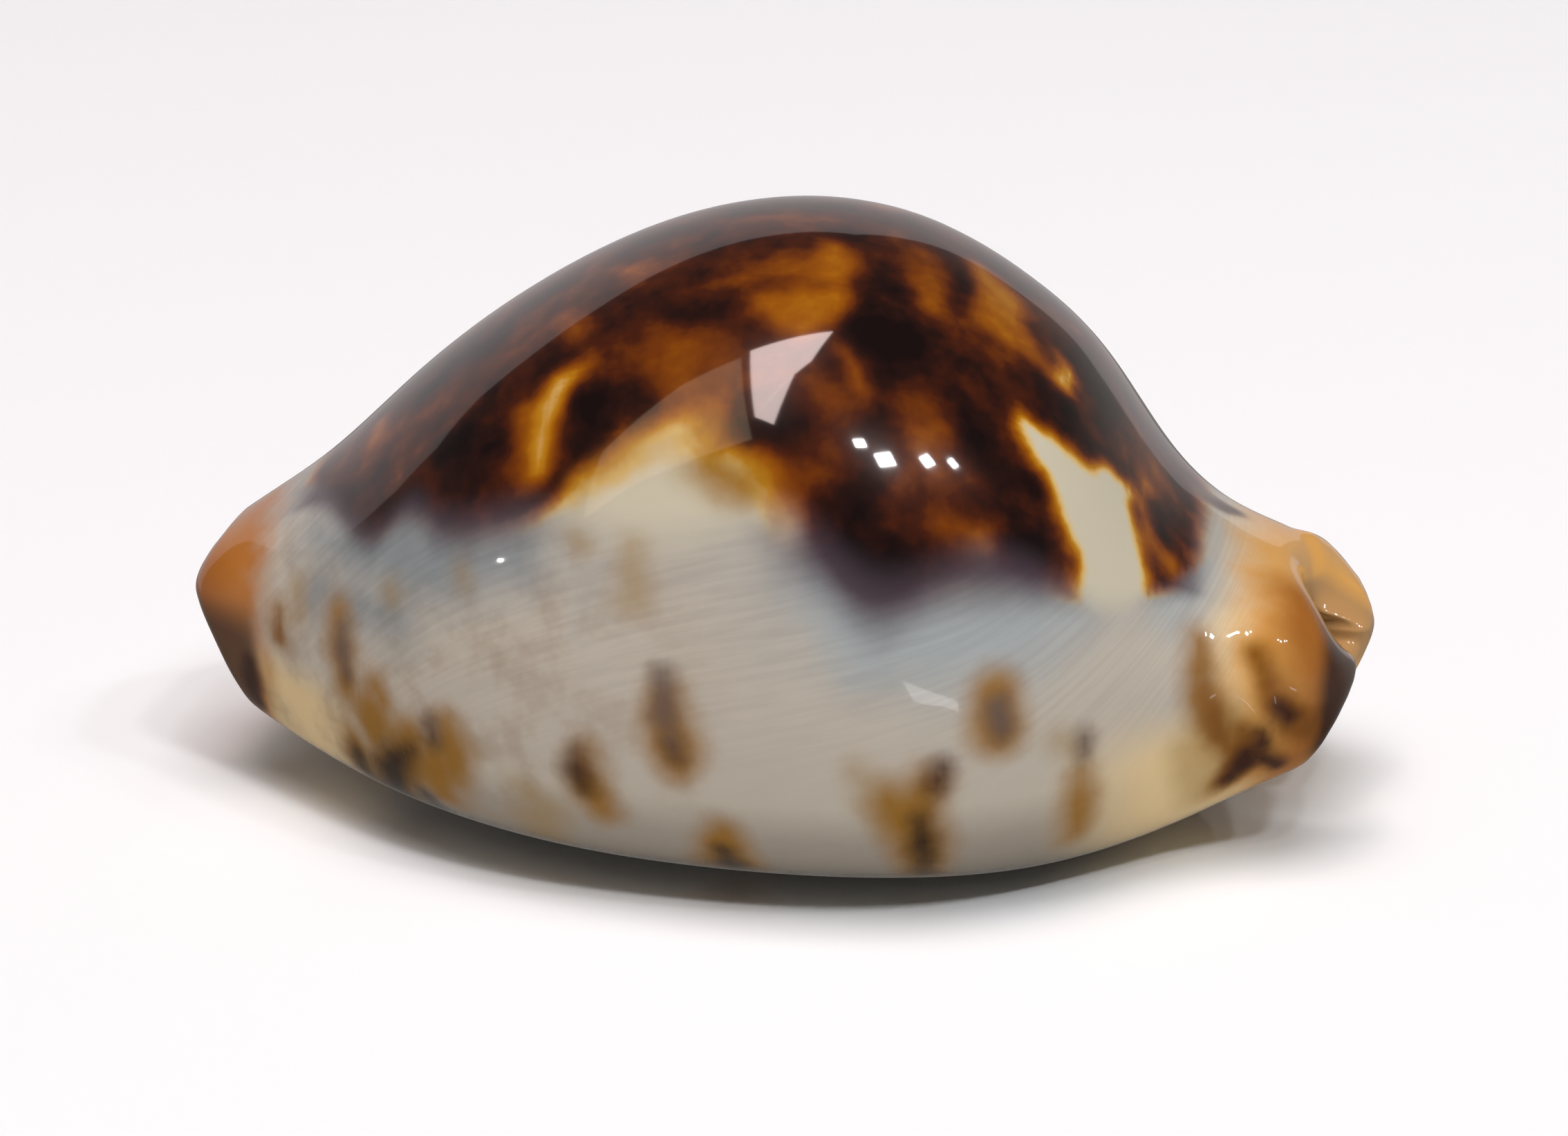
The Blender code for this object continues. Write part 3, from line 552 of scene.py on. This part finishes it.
def wall_faces(grid, rounds):
    """The outer and the inner face of the wall, meeting along its rounded edges."""
    x = grid[..., 0]
    axis = np.stack([x, CROWN + 0 * x, curve(MIDDLE, x)], axis=-1)
    at_end = smooth_step(np.abs(x), END_STARTS, END_SET)[..., None]
    inward = unit((1 - at_end) * -outward(grid) + at_end * unit(axis - grid))
    end_wall = END_WALL_SHARE * np.linalg.norm(axis - grid, axis=-1)
    half = (curve(WALL, rounds) * (1 - at_end[..., 0]) + end_wall * at_end[..., 0]) / 2
    from_lip = distance_from_edge(grid, 0)
    left = rounded(from_lip, half)
    left = left * rounded(distance_from_edge(grid[::-1], 0)[::-1], half)
    left = left * rounded(distance_from_edge(grid, 1), RIM_RADIUS)
    left = left * rounded(distance_from_edge(grid[:, ::-1], 1)[:, ::-1], RIM_RADIUS)
    middle = grid + inward * half[..., None]
    outer = middle - inward * (half * left)[..., None]
    inner = middle + inward * (half * left)[..., None]
    groove = TOOTH_DEPTH * (1 - np.cos(2 * math.pi * x / TOOTH_PITCH)) / 2
    lip_groove = groove * curve(LIP_TEETH, x).clip(0, 1) * (1 - smooth_step(from_lip, *LIP_TOOTH_FADES))
    coil_groove = groove * curve(COIL_TEETH, x).clip(0, 1)
    coil_groove *= np.exp(-(((rounds - COIL_TOOTH_PLACE) / COIL_TOOTH_REACH) ** 2))
    at_lip = 1 - np.clip(from_lip / half, 0, 1)
    into_sheet = unit(np.gradient(grid, axis=0))
    outer += inward * (lip_groove * (1 - at_lip) + coil_groove)[..., None]
    outer += into_sheet * (lip_groove * at_lip)[..., None]
    inner += into_sheet * (lip_groove * at_lip**2)[..., None]
    outer[..., 2] = np.maximum(outer[..., 2], 0)
    return outer, inner


def surface_table():
    """Points of the outer sheet over a table of places along X and lines round the section."""
    along = np.linspace(-TABLE_REACH, TABLE_REACH, 4 * TABLE_REACH + 1)
    lines = np.array([along_row(s, along) for s in np.arange(1, WHORL_START + 1, TABLE_STEP)])
    return along, lines


def on_shell(stroke, table):
    """The points on the outer sheet of a stroke's (place along X, place round, radius) entries."""
    along, lines = table
    points = []
    for x, around, _ in stroke:
        i = int(np.clip(np.searchsorted(along, x) - 1, 0, len(along) - 2))
        share = (x - along[i]) / (along[i + 1] - along[i])
        places, y, z = (lines[:, :, i] * (1 - share) + lines[:, :, i + 1] * share).T
        points.append((x, np.interp(around, places, y), np.interp(around, places, z)))
    return np.array(points)


def depth_in_strokes(grid, strokes, table, softness=STROKE_SOFTNESS):
    """How deep each point lies inside painted strokes, in millimetres, and negative outside them."""
    total = np.full(grid.shape[:2], 1e-12)
    for stroke in strokes:
        line = on_shell(stroke, table)
        radii = [radius for _, _, radius in stroke]
        for start, end, first, last in zip(line, line[1:], radii, radii[1:]):
            reach = end - start
            t = np.clip((grid - start) @ reach / (reach @ reach + 1e-9), 0, 1)
            gap = np.linalg.norm(grid - start - t[..., None] * reach, axis=-1)
            depth = first + (last - first) * t - gap
            total += np.exp(depth.clip(-DEEPEST_STROKE, DEEPEST_STROKE) / softness)
    return softness * np.log(total)


def back_depth(x, rounds):
    """How deep each point lies inside the dark back, in millimetres, before its pale places."""
    near = (curve(DARK_NEAR, x) - rounds) * ROUND_MM
    far = (rounds - curve(DARK_FAR, x)) * ROUND_MM
    ends = np.minimum(x - DARK_FRONT, DARK_BACK - x)
    return np.minimum(np.minimum(near, far), ends).clip(-DEEPEST_BACK, DEEPEST_BACK)


def back_density(grid, table):
    """How dense the pigment of the dark back is at each point, from 0 clear to 1 nearly black."""
    density = np.full(grid.shape[:2], DENSITY_OF_BACK)
    for level, softness, strokes in DENSITIES:
        cover = smooth_step(depth_in_strokes(grid, strokes, table), -softness, softness)
        density += (level - density) * cover
    return density


def milk_cover(x, rounds):
    """How thickly the milky enamel covers each point, 0 on the back to 1 low on the sides."""
    near = smooth_step(rounds - curve(MILK_NEAR, x), *MILK_FADES)
    far = smooth_step(curve(MILK_FAR, x) - rounds, *MILK_FADES)
    ends = smooth_step(np.abs(x - MILK_MIDDLE), *MILK_ENDS)
    return np.maximum(np.maximum(near, far), ends)


def line_place(grid):
    """A height in millimetres that stays the same all along each fine slanting line of the sides."""
    x = grid[..., 0]
    slant = np.interp(x, *np.transpose(LINE_SLANT))
    steps = np.diff(x, axis=1, prepend=x[:, :1])
    return grid[..., 2] - np.cumsum(slant * steps, axis=1)


def painted_fields(grid, rounds, table):
    """The painted fields of the outer face, each a number at every point."""
    x = grid[..., 0]
    hazy = smooth_step(x, *HAZY_EDGE_STARTS) * (1 - smooth_step(x, *HAZY_EDGE_ENDS))
    depth = back_depth(x, rounds) * (1 - HAZY_EDGE_SHARE * hazy)
    fields = {name: depth_in_strokes(grid, strokes, table) for name, strokes in STROKE_FIELDS.items()}
    fields["dark_depth"] = np.minimum(depth, -depth_in_strokes(grid, PALE, table))
    fields["pigment"] = back_density(grid, table)
    fields["milk"] = milk_cover(x, rounds)
    fields["line_place"] = line_place(grid)
    fields["round"] = rounds
    fields["along"] = x
    fields["inside"] = np.zeros(x.shape)
    return fields


def folded(outer, grid, table):
    """The outer face with the low folds of its ends raised or sunk in it."""
    normals = outward(grid)
    for height, strokes in FOLDS:
        cover = smooth_step(depth_in_strokes(grid, strokes, table), *FOLD_FADES)
        outer = outer + normals * (height * cover)[..., None]
    return outer


def plumped(outer, inner, grid, table):
    """The inner face with the back end of the lip made plump, as the photograph shows it."""
    across = inner - outer
    thick = np.linalg.norm(across, axis=-1, keepdims=True)
    cover = smooth_step(depth_in_strokes(grid, PLUMP_LIP, table), *PLUMP_FADES)[..., None]
    share = np.minimum(thick / PLUMP_FULL_WALL, 1) / np.maximum(thick, THINNEST_WALL)
    return inner + across * share * PLUMP_MM * cover


def closed_mesh(name, outer, inner, fields):
    """One closed mesh of the two faces, which share the points along their four edges."""
    rows, columns = outer.shape[:2]
    on_edge = np.ones((rows, columns), bool)
    on_edge[1:-1, 1:-1] = False
    number_outer = np.arange(rows * columns).reshape(rows, columns)
    number_inner = number_outer.copy()
    number_inner[~on_edge] = rows * columns + np.arange((~on_edge).sum())
    points = np.concatenate([outer.reshape(-1, 3), inner[~on_edge]])
    faces = []
    for number, turn in ((number_outer, 1), (number_inner, -1)):
        corners = [number[:-1, :-1], number[1:, :-1], number[1:, 1:], number[:-1, 1:]]
        faces += np.stack(corners, axis=-1).reshape(-1, 4)[:, ::turn].tolist()
    mesh = bpy.data.meshes.new(name)
    mesh.from_pydata(points.tolist(), [], faces)
    for field, values in fields.items():
        both = np.concatenate([values.reshape(-1), values[~on_edge]])
        if field == "inside":
            both[rows * columns:] = 1
        layer = mesh.attributes.new(field, "FLOAT", "POINT")
        layer.data.foreach_set("value", both.astype(np.float32))
    return mesh


def fit_to_box(mesh, box):
    """Move and size a mesh in millimetres to fill a box in metres, and return how."""
    points = np.empty(len(mesh.vertices) * 3)
    mesh.vertices.foreach_get("co", points)
    points = points.reshape(-1, 3)
    low, high = points.min(axis=0), points.max(axis=0)
    box_low, box_high = np.array(box[0]), np.array(box[1])
    size = (box_high - box_low) / (high - low)
    shift = box_low - low * size
    mesh.vertices.foreach_set("co", (points * size + shift).reshape(-1))
    mesh.update()
    return size, shift


def linear(hex_colour):
    """An sRGB hex colour as linear RGBA."""
    parts = [int(hex_colour[i:i + 2], 16) / 255 for i in (1, 3, 5)]
    return tuple(c / 12.92 if c <= 0.04045 else ((c + 0.055) / 1.055) ** 2.4 for c in parts) + (1,)


def add(tree, kind, settings=None, links=None, stops=None, output=0):
    """Add a node with its settings, its inputs (values, hex colours or sockets) and a ramp's stops."""
    made = tree.nodes.new(kind)
    for name, value in (settings or {}).items():
        setattr(made, name, value)
    for socket, value in (links or {}).items():
        if isinstance(value, bpy.types.NodeSocket):
            tree.links.new(value, made.inputs[socket])
        else:
            made.inputs[socket].default_value = linear(value) if isinstance(value, str) else value
    if stops:
        ramp = made.color_ramp
        while len(ramp.elements) < len(stops):
            ramp.elements.new(0.5)
        for element, (position, colour) in zip(ramp.elements, stops):
            element.position = position
            element.color = linear(colour)
    return made.outputs[output]


def mixed_noise(tree, broad, fine, broad_share, fine_share, offset):
    """Broad and fine noise in their shares, shifted by an offset."""
    fine_part = add(tree, "ShaderNodeMath", TIMES_ADD, {0: fine, 1: fine_share, 2: offset})
    return add(tree, "ShaderNodeMath", TIMES_ADD, {0: broad, 1: broad_share, 2: fine_part})


def soft_share(tree, *ranges):
    """The product of soft ranges, each (place, start, end, value at the end, value at the start)."""
    share = None
    for place, start, end, *values in ranges:
        at_end, at_start = values + [1.0, 0.0][len(values):]
        part = add(tree, "ShaderNodeMapRange", SMOOTH, {
            "Value": place, "From Min": start, "From Max": end, "To Min": at_start, "To Max": at_end})
        share = part if share is None else add(tree, "ShaderNodeMath", TIMES, {0: share, 1: part})
    return share


def laid_over(tree, under, over, place, start, end, strength=1.0, wander=None, waver=0.0):
    """A colour laid softly over another as a place runs from start to end, its edge wavering."""
    if wander is not None:
        place = add(tree, "ShaderNodeMath", TIMES_ADD, {0: wander, 1: waver, 2: place})
    share = soft_share(tree, (place, start, end, strength))
    return add(tree, "ShaderNodeMix", COLOURS, {0: share, 6: under, 7: over}, output=2)


def natural_shell_enamel():
    """Aragonite enamel of a living cowrie, laid down glassy smooth.

    It gives the eye a wet, mirror-like gloss over soft-edged pigment clouds: a tortoiseshell back
    that sinks under a milky, finely lined layer on the sides, where spots float in it.
    """
    material = bpy.data.materials.new("natural_shell_enamel")
    material.use_nodes = True
    tree = material.node_tree
    painted = {name: add(tree, "ShaderNodeAttribute", {"attribute_name": name}, output="Fac")
               for name in (*STROKE_FIELDS, "dark_depth", "pigment", "milk", "line_place", "inside")}
    along = add(tree, "ShaderNodeAttribute", {"attribute_name": "along"}, output="Fac")
    around = add(tree, "ShaderNodeAttribute", {"attribute_name": "round"}, output="Fac")

    # Clouds about 3.6 mm and 1.3 mm across, and the millimetres by which they make edges wander.
    place = add(tree, "ShaderNodeTexCoord", output="Object")
    place = add(tree, "ShaderNodeVectorMath", {"operation": "SCALE"}, {0: place, "Scale": 1 / MM})
    broad = add(tree, "ShaderNodeTexNoise", {}, {"Vector": place, **BROAD_CLOUDS})
    fine = add(tree, "ShaderNodeTexNoise", {}, {"Vector": place, **FINE_CLOUDS})
    wander = mixed_noise(tree, broad, fine, 3.4, 0.5, -1.95)

    # Tortoiseshell back: clear cream, gold, amber, brown, then nearly black where it is densest.
    edge = add(tree, "ShaderNodeMath", TIMES_ADD, {0: wander, 1: 0.26, 2: painted["dark_depth"]})
    mottled = mixed_noise(tree, broad, fine, 0.70, 0.16, -0.43)
    uneven = add(tree, "ShaderNodeMath", TIMES, {0: painted["pigment"], 1: mottled})
    dense = add(tree, "ShaderNodeMath", TIMES_ADD, {0: uneven, 1: 1.45, 2: painted["pigment"]})
    dense = add(tree, "ShaderNodeMath", {**TIMES, "use_clamp": True},
                {0: soft_share(tree, (edge, -0.8, 1.5)), 1: dense})
    back = add(tree, "ShaderNodeValToRGB", {}, {"Fac": dense}, BACK_COLOURS)

    # Milky layer: beige on pale shell, greyer and darker low toward the base as painted shade near
    # the ground, cream toward the ends, tan in clouds on the front half, blue-grey over the edge of
    # the dark back and purplish where dense pigment shows through.
    layer = add(tree, "ShaderNodeValToRGB", {}, {"Fac": soft_share(tree, (around, 2.6, 3.7))}, MILK_COLOURS_WITH_LOW_SHADE)
    cream_back = soft_share(tree, (around, 2.9, 3.2), (along, 18.0, 27.0))
    cream_front = soft_share(tree, (around, 3.0, 3.25), (along, -24.0, -29.0))
    creamy = add(tree, "ShaderNodeMath", PLUS, {0: cream_back, 1: cream_front})
    creamy = add(tree, "ShaderNodeMath", PLUS, {0: creamy, 1: soft_share(tree, (along, 27.8, 29.6, 0.6))})
    layer = add(tree, "ShaderNodeMix", COLOURS, {0: creamy, 6: layer, 7: CREAM}, output=2)
    tan_cloud = soft_share(tree, (broad, 0.40, 0.68, 0.5), (along, 4.0, -14.0))
    layer = add(tree, "ShaderNodeMix", COLOURS, {0: tan_cloud, 6: layer, 7: TAN}, output=2)
    layer = laid_over(tree, layer, GREY, edge, -6.0, 0.5, 0.45)
    blue_grey = laid_over(tree, BLUE_GREY_FRONT, BLUE_GREY_BACK, along, -14.0, 0.0)
    layer = laid_over(tree, layer, blue_grey, painted["bluish"], -3.6, 2.2, 0.88, wander, 0.8)
    near_back = soft_share(tree, (edge, -3.2, 2.6), (along, 29.6, 27.4))
    sunk = add(tree, "ShaderNodeMath", TIMES, {0: near_back, 1: painted["pigment"]})
    layer = laid_over(tree, layer, PURPLISH, sunk, 0.05, 0.8)
    covered = add(tree, "ShaderNodeMix", COLOURS, {0: painted["milk"], 6: back, 7: layer}, output=2)

    # Fine slanting lines, about half a millimetre apart, strongest high in the milky layer.
    lines_at = add(tree, "ShaderNodeCombineXYZ", {}, {"X": painted["line_place"], "Y": along})
    lines_at = add(tree, "ShaderNodeVectorMath", TIMES, {0: lines_at, 1: LINES_PER_MM})
    lines = add(tree, "ShaderNodeTexNoise", {}, {"Vector": lines_at, "Scale": 1.0, "Detail": 2.0})
    shade = soft_share(tree, (lines, 0.30, 0.70, 1.04, 0.94))
    lined = add(tree, "ShaderNodeVectorMath", {"operation": "SCALE"}, {0: covered, "Scale": shade})
    high_up = soft_share(tree, (around, 3.12, 2.85, 1.0, 0.12))
    strength = add(tree, "ShaderNodeMath", TIMES, {0: painted["milk"], 1: high_up})
    side = add(tree, "ShaderNodeMix", COLOURS, {0: strength, 6: covered, 7: lined}, output=2)

    # Haze and spots that float in the milky layer, purplish high up and dark brown low down.
    spot = add(tree, "ShaderNodeValToRGB", {}, {"Fac": soft_share(tree, (around, 2.9, 3.3))}, SPOT_COLOURS)
    side = laid_over(tree, side, GOLDEN_HAZE, painted["haze"], -1.8, 1.0, 0.5, wander, 0.3)
    side = laid_over(tree, side, AMBER, painted["amber_spot"], -2.0, 0.9, 0.95, wander, 0.4)
    side = laid_over(tree, side, spot, painted["dark_spot"], -1.5, 0.7, 0.93, wander, 0.4)

    # Orange callus at both ends, with rust and dark brown toward the rims.
    ends = laid_over(tree, side, FRONT_ORANGE, along, -31.9, -35.0, 0.95, wander, 1.1)
    ends = laid_over(tree, ends, BACK_ORANGE, along, 28.8, 32.8, 0.92, wander, 1.1)
    ends = laid_over(tree, ends, RUST_BROWN, painted["rust"], -3.5, 1.2, 0.85, wander, 0.4)
    # Painted shade: the lower part of the front end turns dark grey-brown.
    low_front_shade = soft_share(tree, (around, 2.80, 3.14, 0.9), (along, -33.2, -34.6))
    ends = add(tree, "ShaderNodeMix", COLOURS, {0: low_front_shade, 6: ends, 7: FRONT_PAINTED_SHADE}, output=2)
    ends = laid_over(tree, ends, DARK_RIM, painted["rim_brown"], -1.0, 0.8, 0.95)

    # Spots again on top of the orange ends, narrower and darker, and the plain inner face.
    marked = laid_over(tree, ends, END_AMBER, painted["amber_spot"], -1.0, 0.5, 0.9, wander, 0.3)
    marked = laid_over(tree, marked, END_BROWN, painted["dark_spot"], -0.9, 0.4, 0.95, wander, 0.3)
    from_middle = add(tree, "ShaderNodeMath", {"operation": "ABSOLUTE"}, {0: along})
    outer = laid_over(tree, ends, marked, from_middle, 27.0, 30.0)
    finished = add(tree, "ShaderNodeMix", COLOURS,
                   {0: painted["inside"], 6: outer, 7: INNER_FACE}, output=2)

    shader = tree.nodes["Principled BSDF"]
    tree.links.new(finished, shader.inputs["Base Color"])
    for socket, value in ENAMEL_GLOSS.items():
        shader.inputs[socket].default_value = value
    return material


def build_shell():
    """The shell's one surface, fitted to the frame's shell; returns the fit's size and shift."""
    steps_inside = round(INNER_REACH / FINE_STEP)
    inner = FINE_STEP * np.arange(-steps_inside, steps_inside + 1)
    rows = np.concatenate([LIP_ROWS, *(np.arange(*run) for run in ROW_RUNS),
                           np.linspace(WHORL_START, SPANS, WHORL_ROWS)])
    grid, rounds = sheet_grid(rows, inner, rounding=6, between=12)
    table = surface_table()
    outer, inner_face = wall_faces(swollen(grid), rounds)
    inner_face = plumped(outer, inner_face, grid, table)
    fields = painted_fields(grid, rounds, table)
    mesh = closed_mesh("shell_surface", folded(outer, grid, table), inner_face, fields)
    size, shift = fit_to_box(mesh, shell_box)
    mesh.shade_smooth()
    mesh.materials.append(natural_shell_enamel())
    shell = bpy.data.objects.new("shell_surface", mesh)
    bpy.context.scene.collection.objects.link(shell)
    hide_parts("shell")
    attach(shell, "root")
    return size, shift


def stage_card(name, made_of, corners, faces, finish):
    """A card of the studio, no part of the object; its corners in millimetres."""
    mesh = bpy.data.meshes.new(name)
    mesh.from_pydata([Vector(corner) * MM for corner in corners], [], [tuple(face) for face in faces])
    material = bpy.data.materials.new(made_of)
    material.use_nodes = True
    shader = material.node_tree.nodes["Principled BSDF"]
    for socket, value in finish.items():
        shader.inputs[socket].default_value = value
    mesh.materials.append(material)
    card = bpy.data.objects.new(name, mesh)
    bpy.context.scene.collection.objects.link(card)
    return card


def pale_floor():
    """Matt white card for the shell to stand on, which the gloss doesn't mirror."""
    corners = [(x * FLOOR_REACH, y * FLOOR_REACH, 0) for x, y in ((-1, -1), (1, -1), (1, 1), (-1, 1))]
    floor = stage_card("pale_floor", "matt_white_card", corners, [range(4)], {
        "Base Color": linear(FLOOR_WHITE), "Roughness": 0.9})
    floor.visible_glossy = False


def glowing_card(name, corners, faces, brightness, colour):
    """A card that shines evenly, seen in the gloss but not by the camera."""
    card = stage_card(name, name, corners, faces, {
        "Base Color": (0, 0, 0, 1), "Emission Color": linear(colour), "Emission Strength": brightness})
    card.visible_camera = False


def soft_light(name, centre, across, facing, size, brightness):
    """A white rectangular lamp of even brightness; its place and size in millimetres."""
    lamp = bpy.data.lights.new(name, "AREA")
    lamp.shape = "RECTANGLE"
    lamp.size, lamp.size_y = size[0] * MM, size[1] * MM
    lamp.energy = brightness * math.pi * lamp.size * lamp.size_y
    back = -Vector(facing).normalized()
    side = Vector(across).normalized()
    turned = Matrix((side, back.cross(side), back)).transposed().to_4x4()
    light = bpy.data.objects.new(name, lamp)
    light.matrix_world = Matrix.Translation(Vector(centre) * MM) @ turned
    bpy.context.scene.collection.objects.link(light)
    return light


def soft_room():
    """A dim room, darkest overhead and lightest just below the horizon."""
    world = bpy.data.worlds.new("soft_room")
    world.use_nodes = True
    tree = world.node_tree
    direction = add(tree, "ShaderNodeTexCoord", output="Generated")
    height = add(tree, "ShaderNodeSeparateXYZ", {}, {0: direction}, output="Z")
    glow = soft_share(tree, (height, *ROOM_GLOW), (height, *ROOM_BELOW))
    background = tree.nodes["Background"]
    tree.links.new(glow, background.inputs["Strength"])
    background.inputs["Color"].default_value = linear(ROOM_WHITE)
    bpy.context.scene.world = world


def studio():
    """A white card behind, a window above and a cluster of lamps to the right, over a plain floor."""
    fill = soft_light("overhead_fill", *OVERHEAD_FILL)
    fill.visible_glossy = False
    top = [LAMP_DISTANCE / math.hypot(x, y) * Vector((x, y, z)) for x, y, z in CARD_TOP]
    foot = [Vector((point.x, point.y, CARD_FOOT)) for point in top]
    strips = [(n, n + 1, len(top) + n + 1, len(top) + n) for n in range(len(top) - 1)]
    glowing_card("white_card_behind", top + foot, strips, 0.48, "#FFF8F8")
    for name, outline, brightness, colour in MIRRORED:
        corners = [LAMP_DISTANCE * Vector(toward) for toward in outline]
        glowing_card(name, corners, [range(len(corners))], brightness, colour)
    for number, (toward, size) in enumerate(LAMPS):
        toward = Vector(toward).normalized()
        side = toward.cross(Vector((0, 0, 1))).normalized()
        centre = toward * LAMP_DISTANCE + Vector(LAMPS_AIM)
        soft_light(f"lamp_{number}", centre, side, -toward, size, LAMP_BRIGHTNESS)


def camera(size, shift):
    """The photograph's view, placed in the shell's own millimetres and then fitted as the shell is."""
    turn, rise = math.radians(VIEW_TURN), math.radians(VIEW_RISE)
    forward = Vector((-math.sin(turn) * math.cos(rise), math.cos(turn) * math.cos(rise), -math.sin(rise)))
    right = Vector((math.cos(turn), math.sin(turn), 0))
    up = right.cross(forward)
    eye = Vector((0, 0, AIM_HEIGHT)) + right * AIM_RIGHT - up * AIM_DOWN - forward * VIEW_DISTANCE
    lens = bpy.data.cameras.new("photo_view")
    lens.sensor_width = 36
    lens.lens = VIEW_LENS
    lens.clip_start = 0.01
    view = bpy.data.objects.new("photo_view", lens)
    place = Vector([c * s + o for c, s, o in zip(eye, size, shift)])
    view.matrix_world = Matrix.Translation(place) @ Matrix((right, up, -forward)).transposed().to_4x4()
    bpy.context.scene.collection.objects.link(view)
    bpy.context.scene.camera = view


size, shift = build_shell()
camera(size, shift)
pale_floor()
soft_room()
studio()
bpy.context.scene.view_settings.view_transform = "Standard"
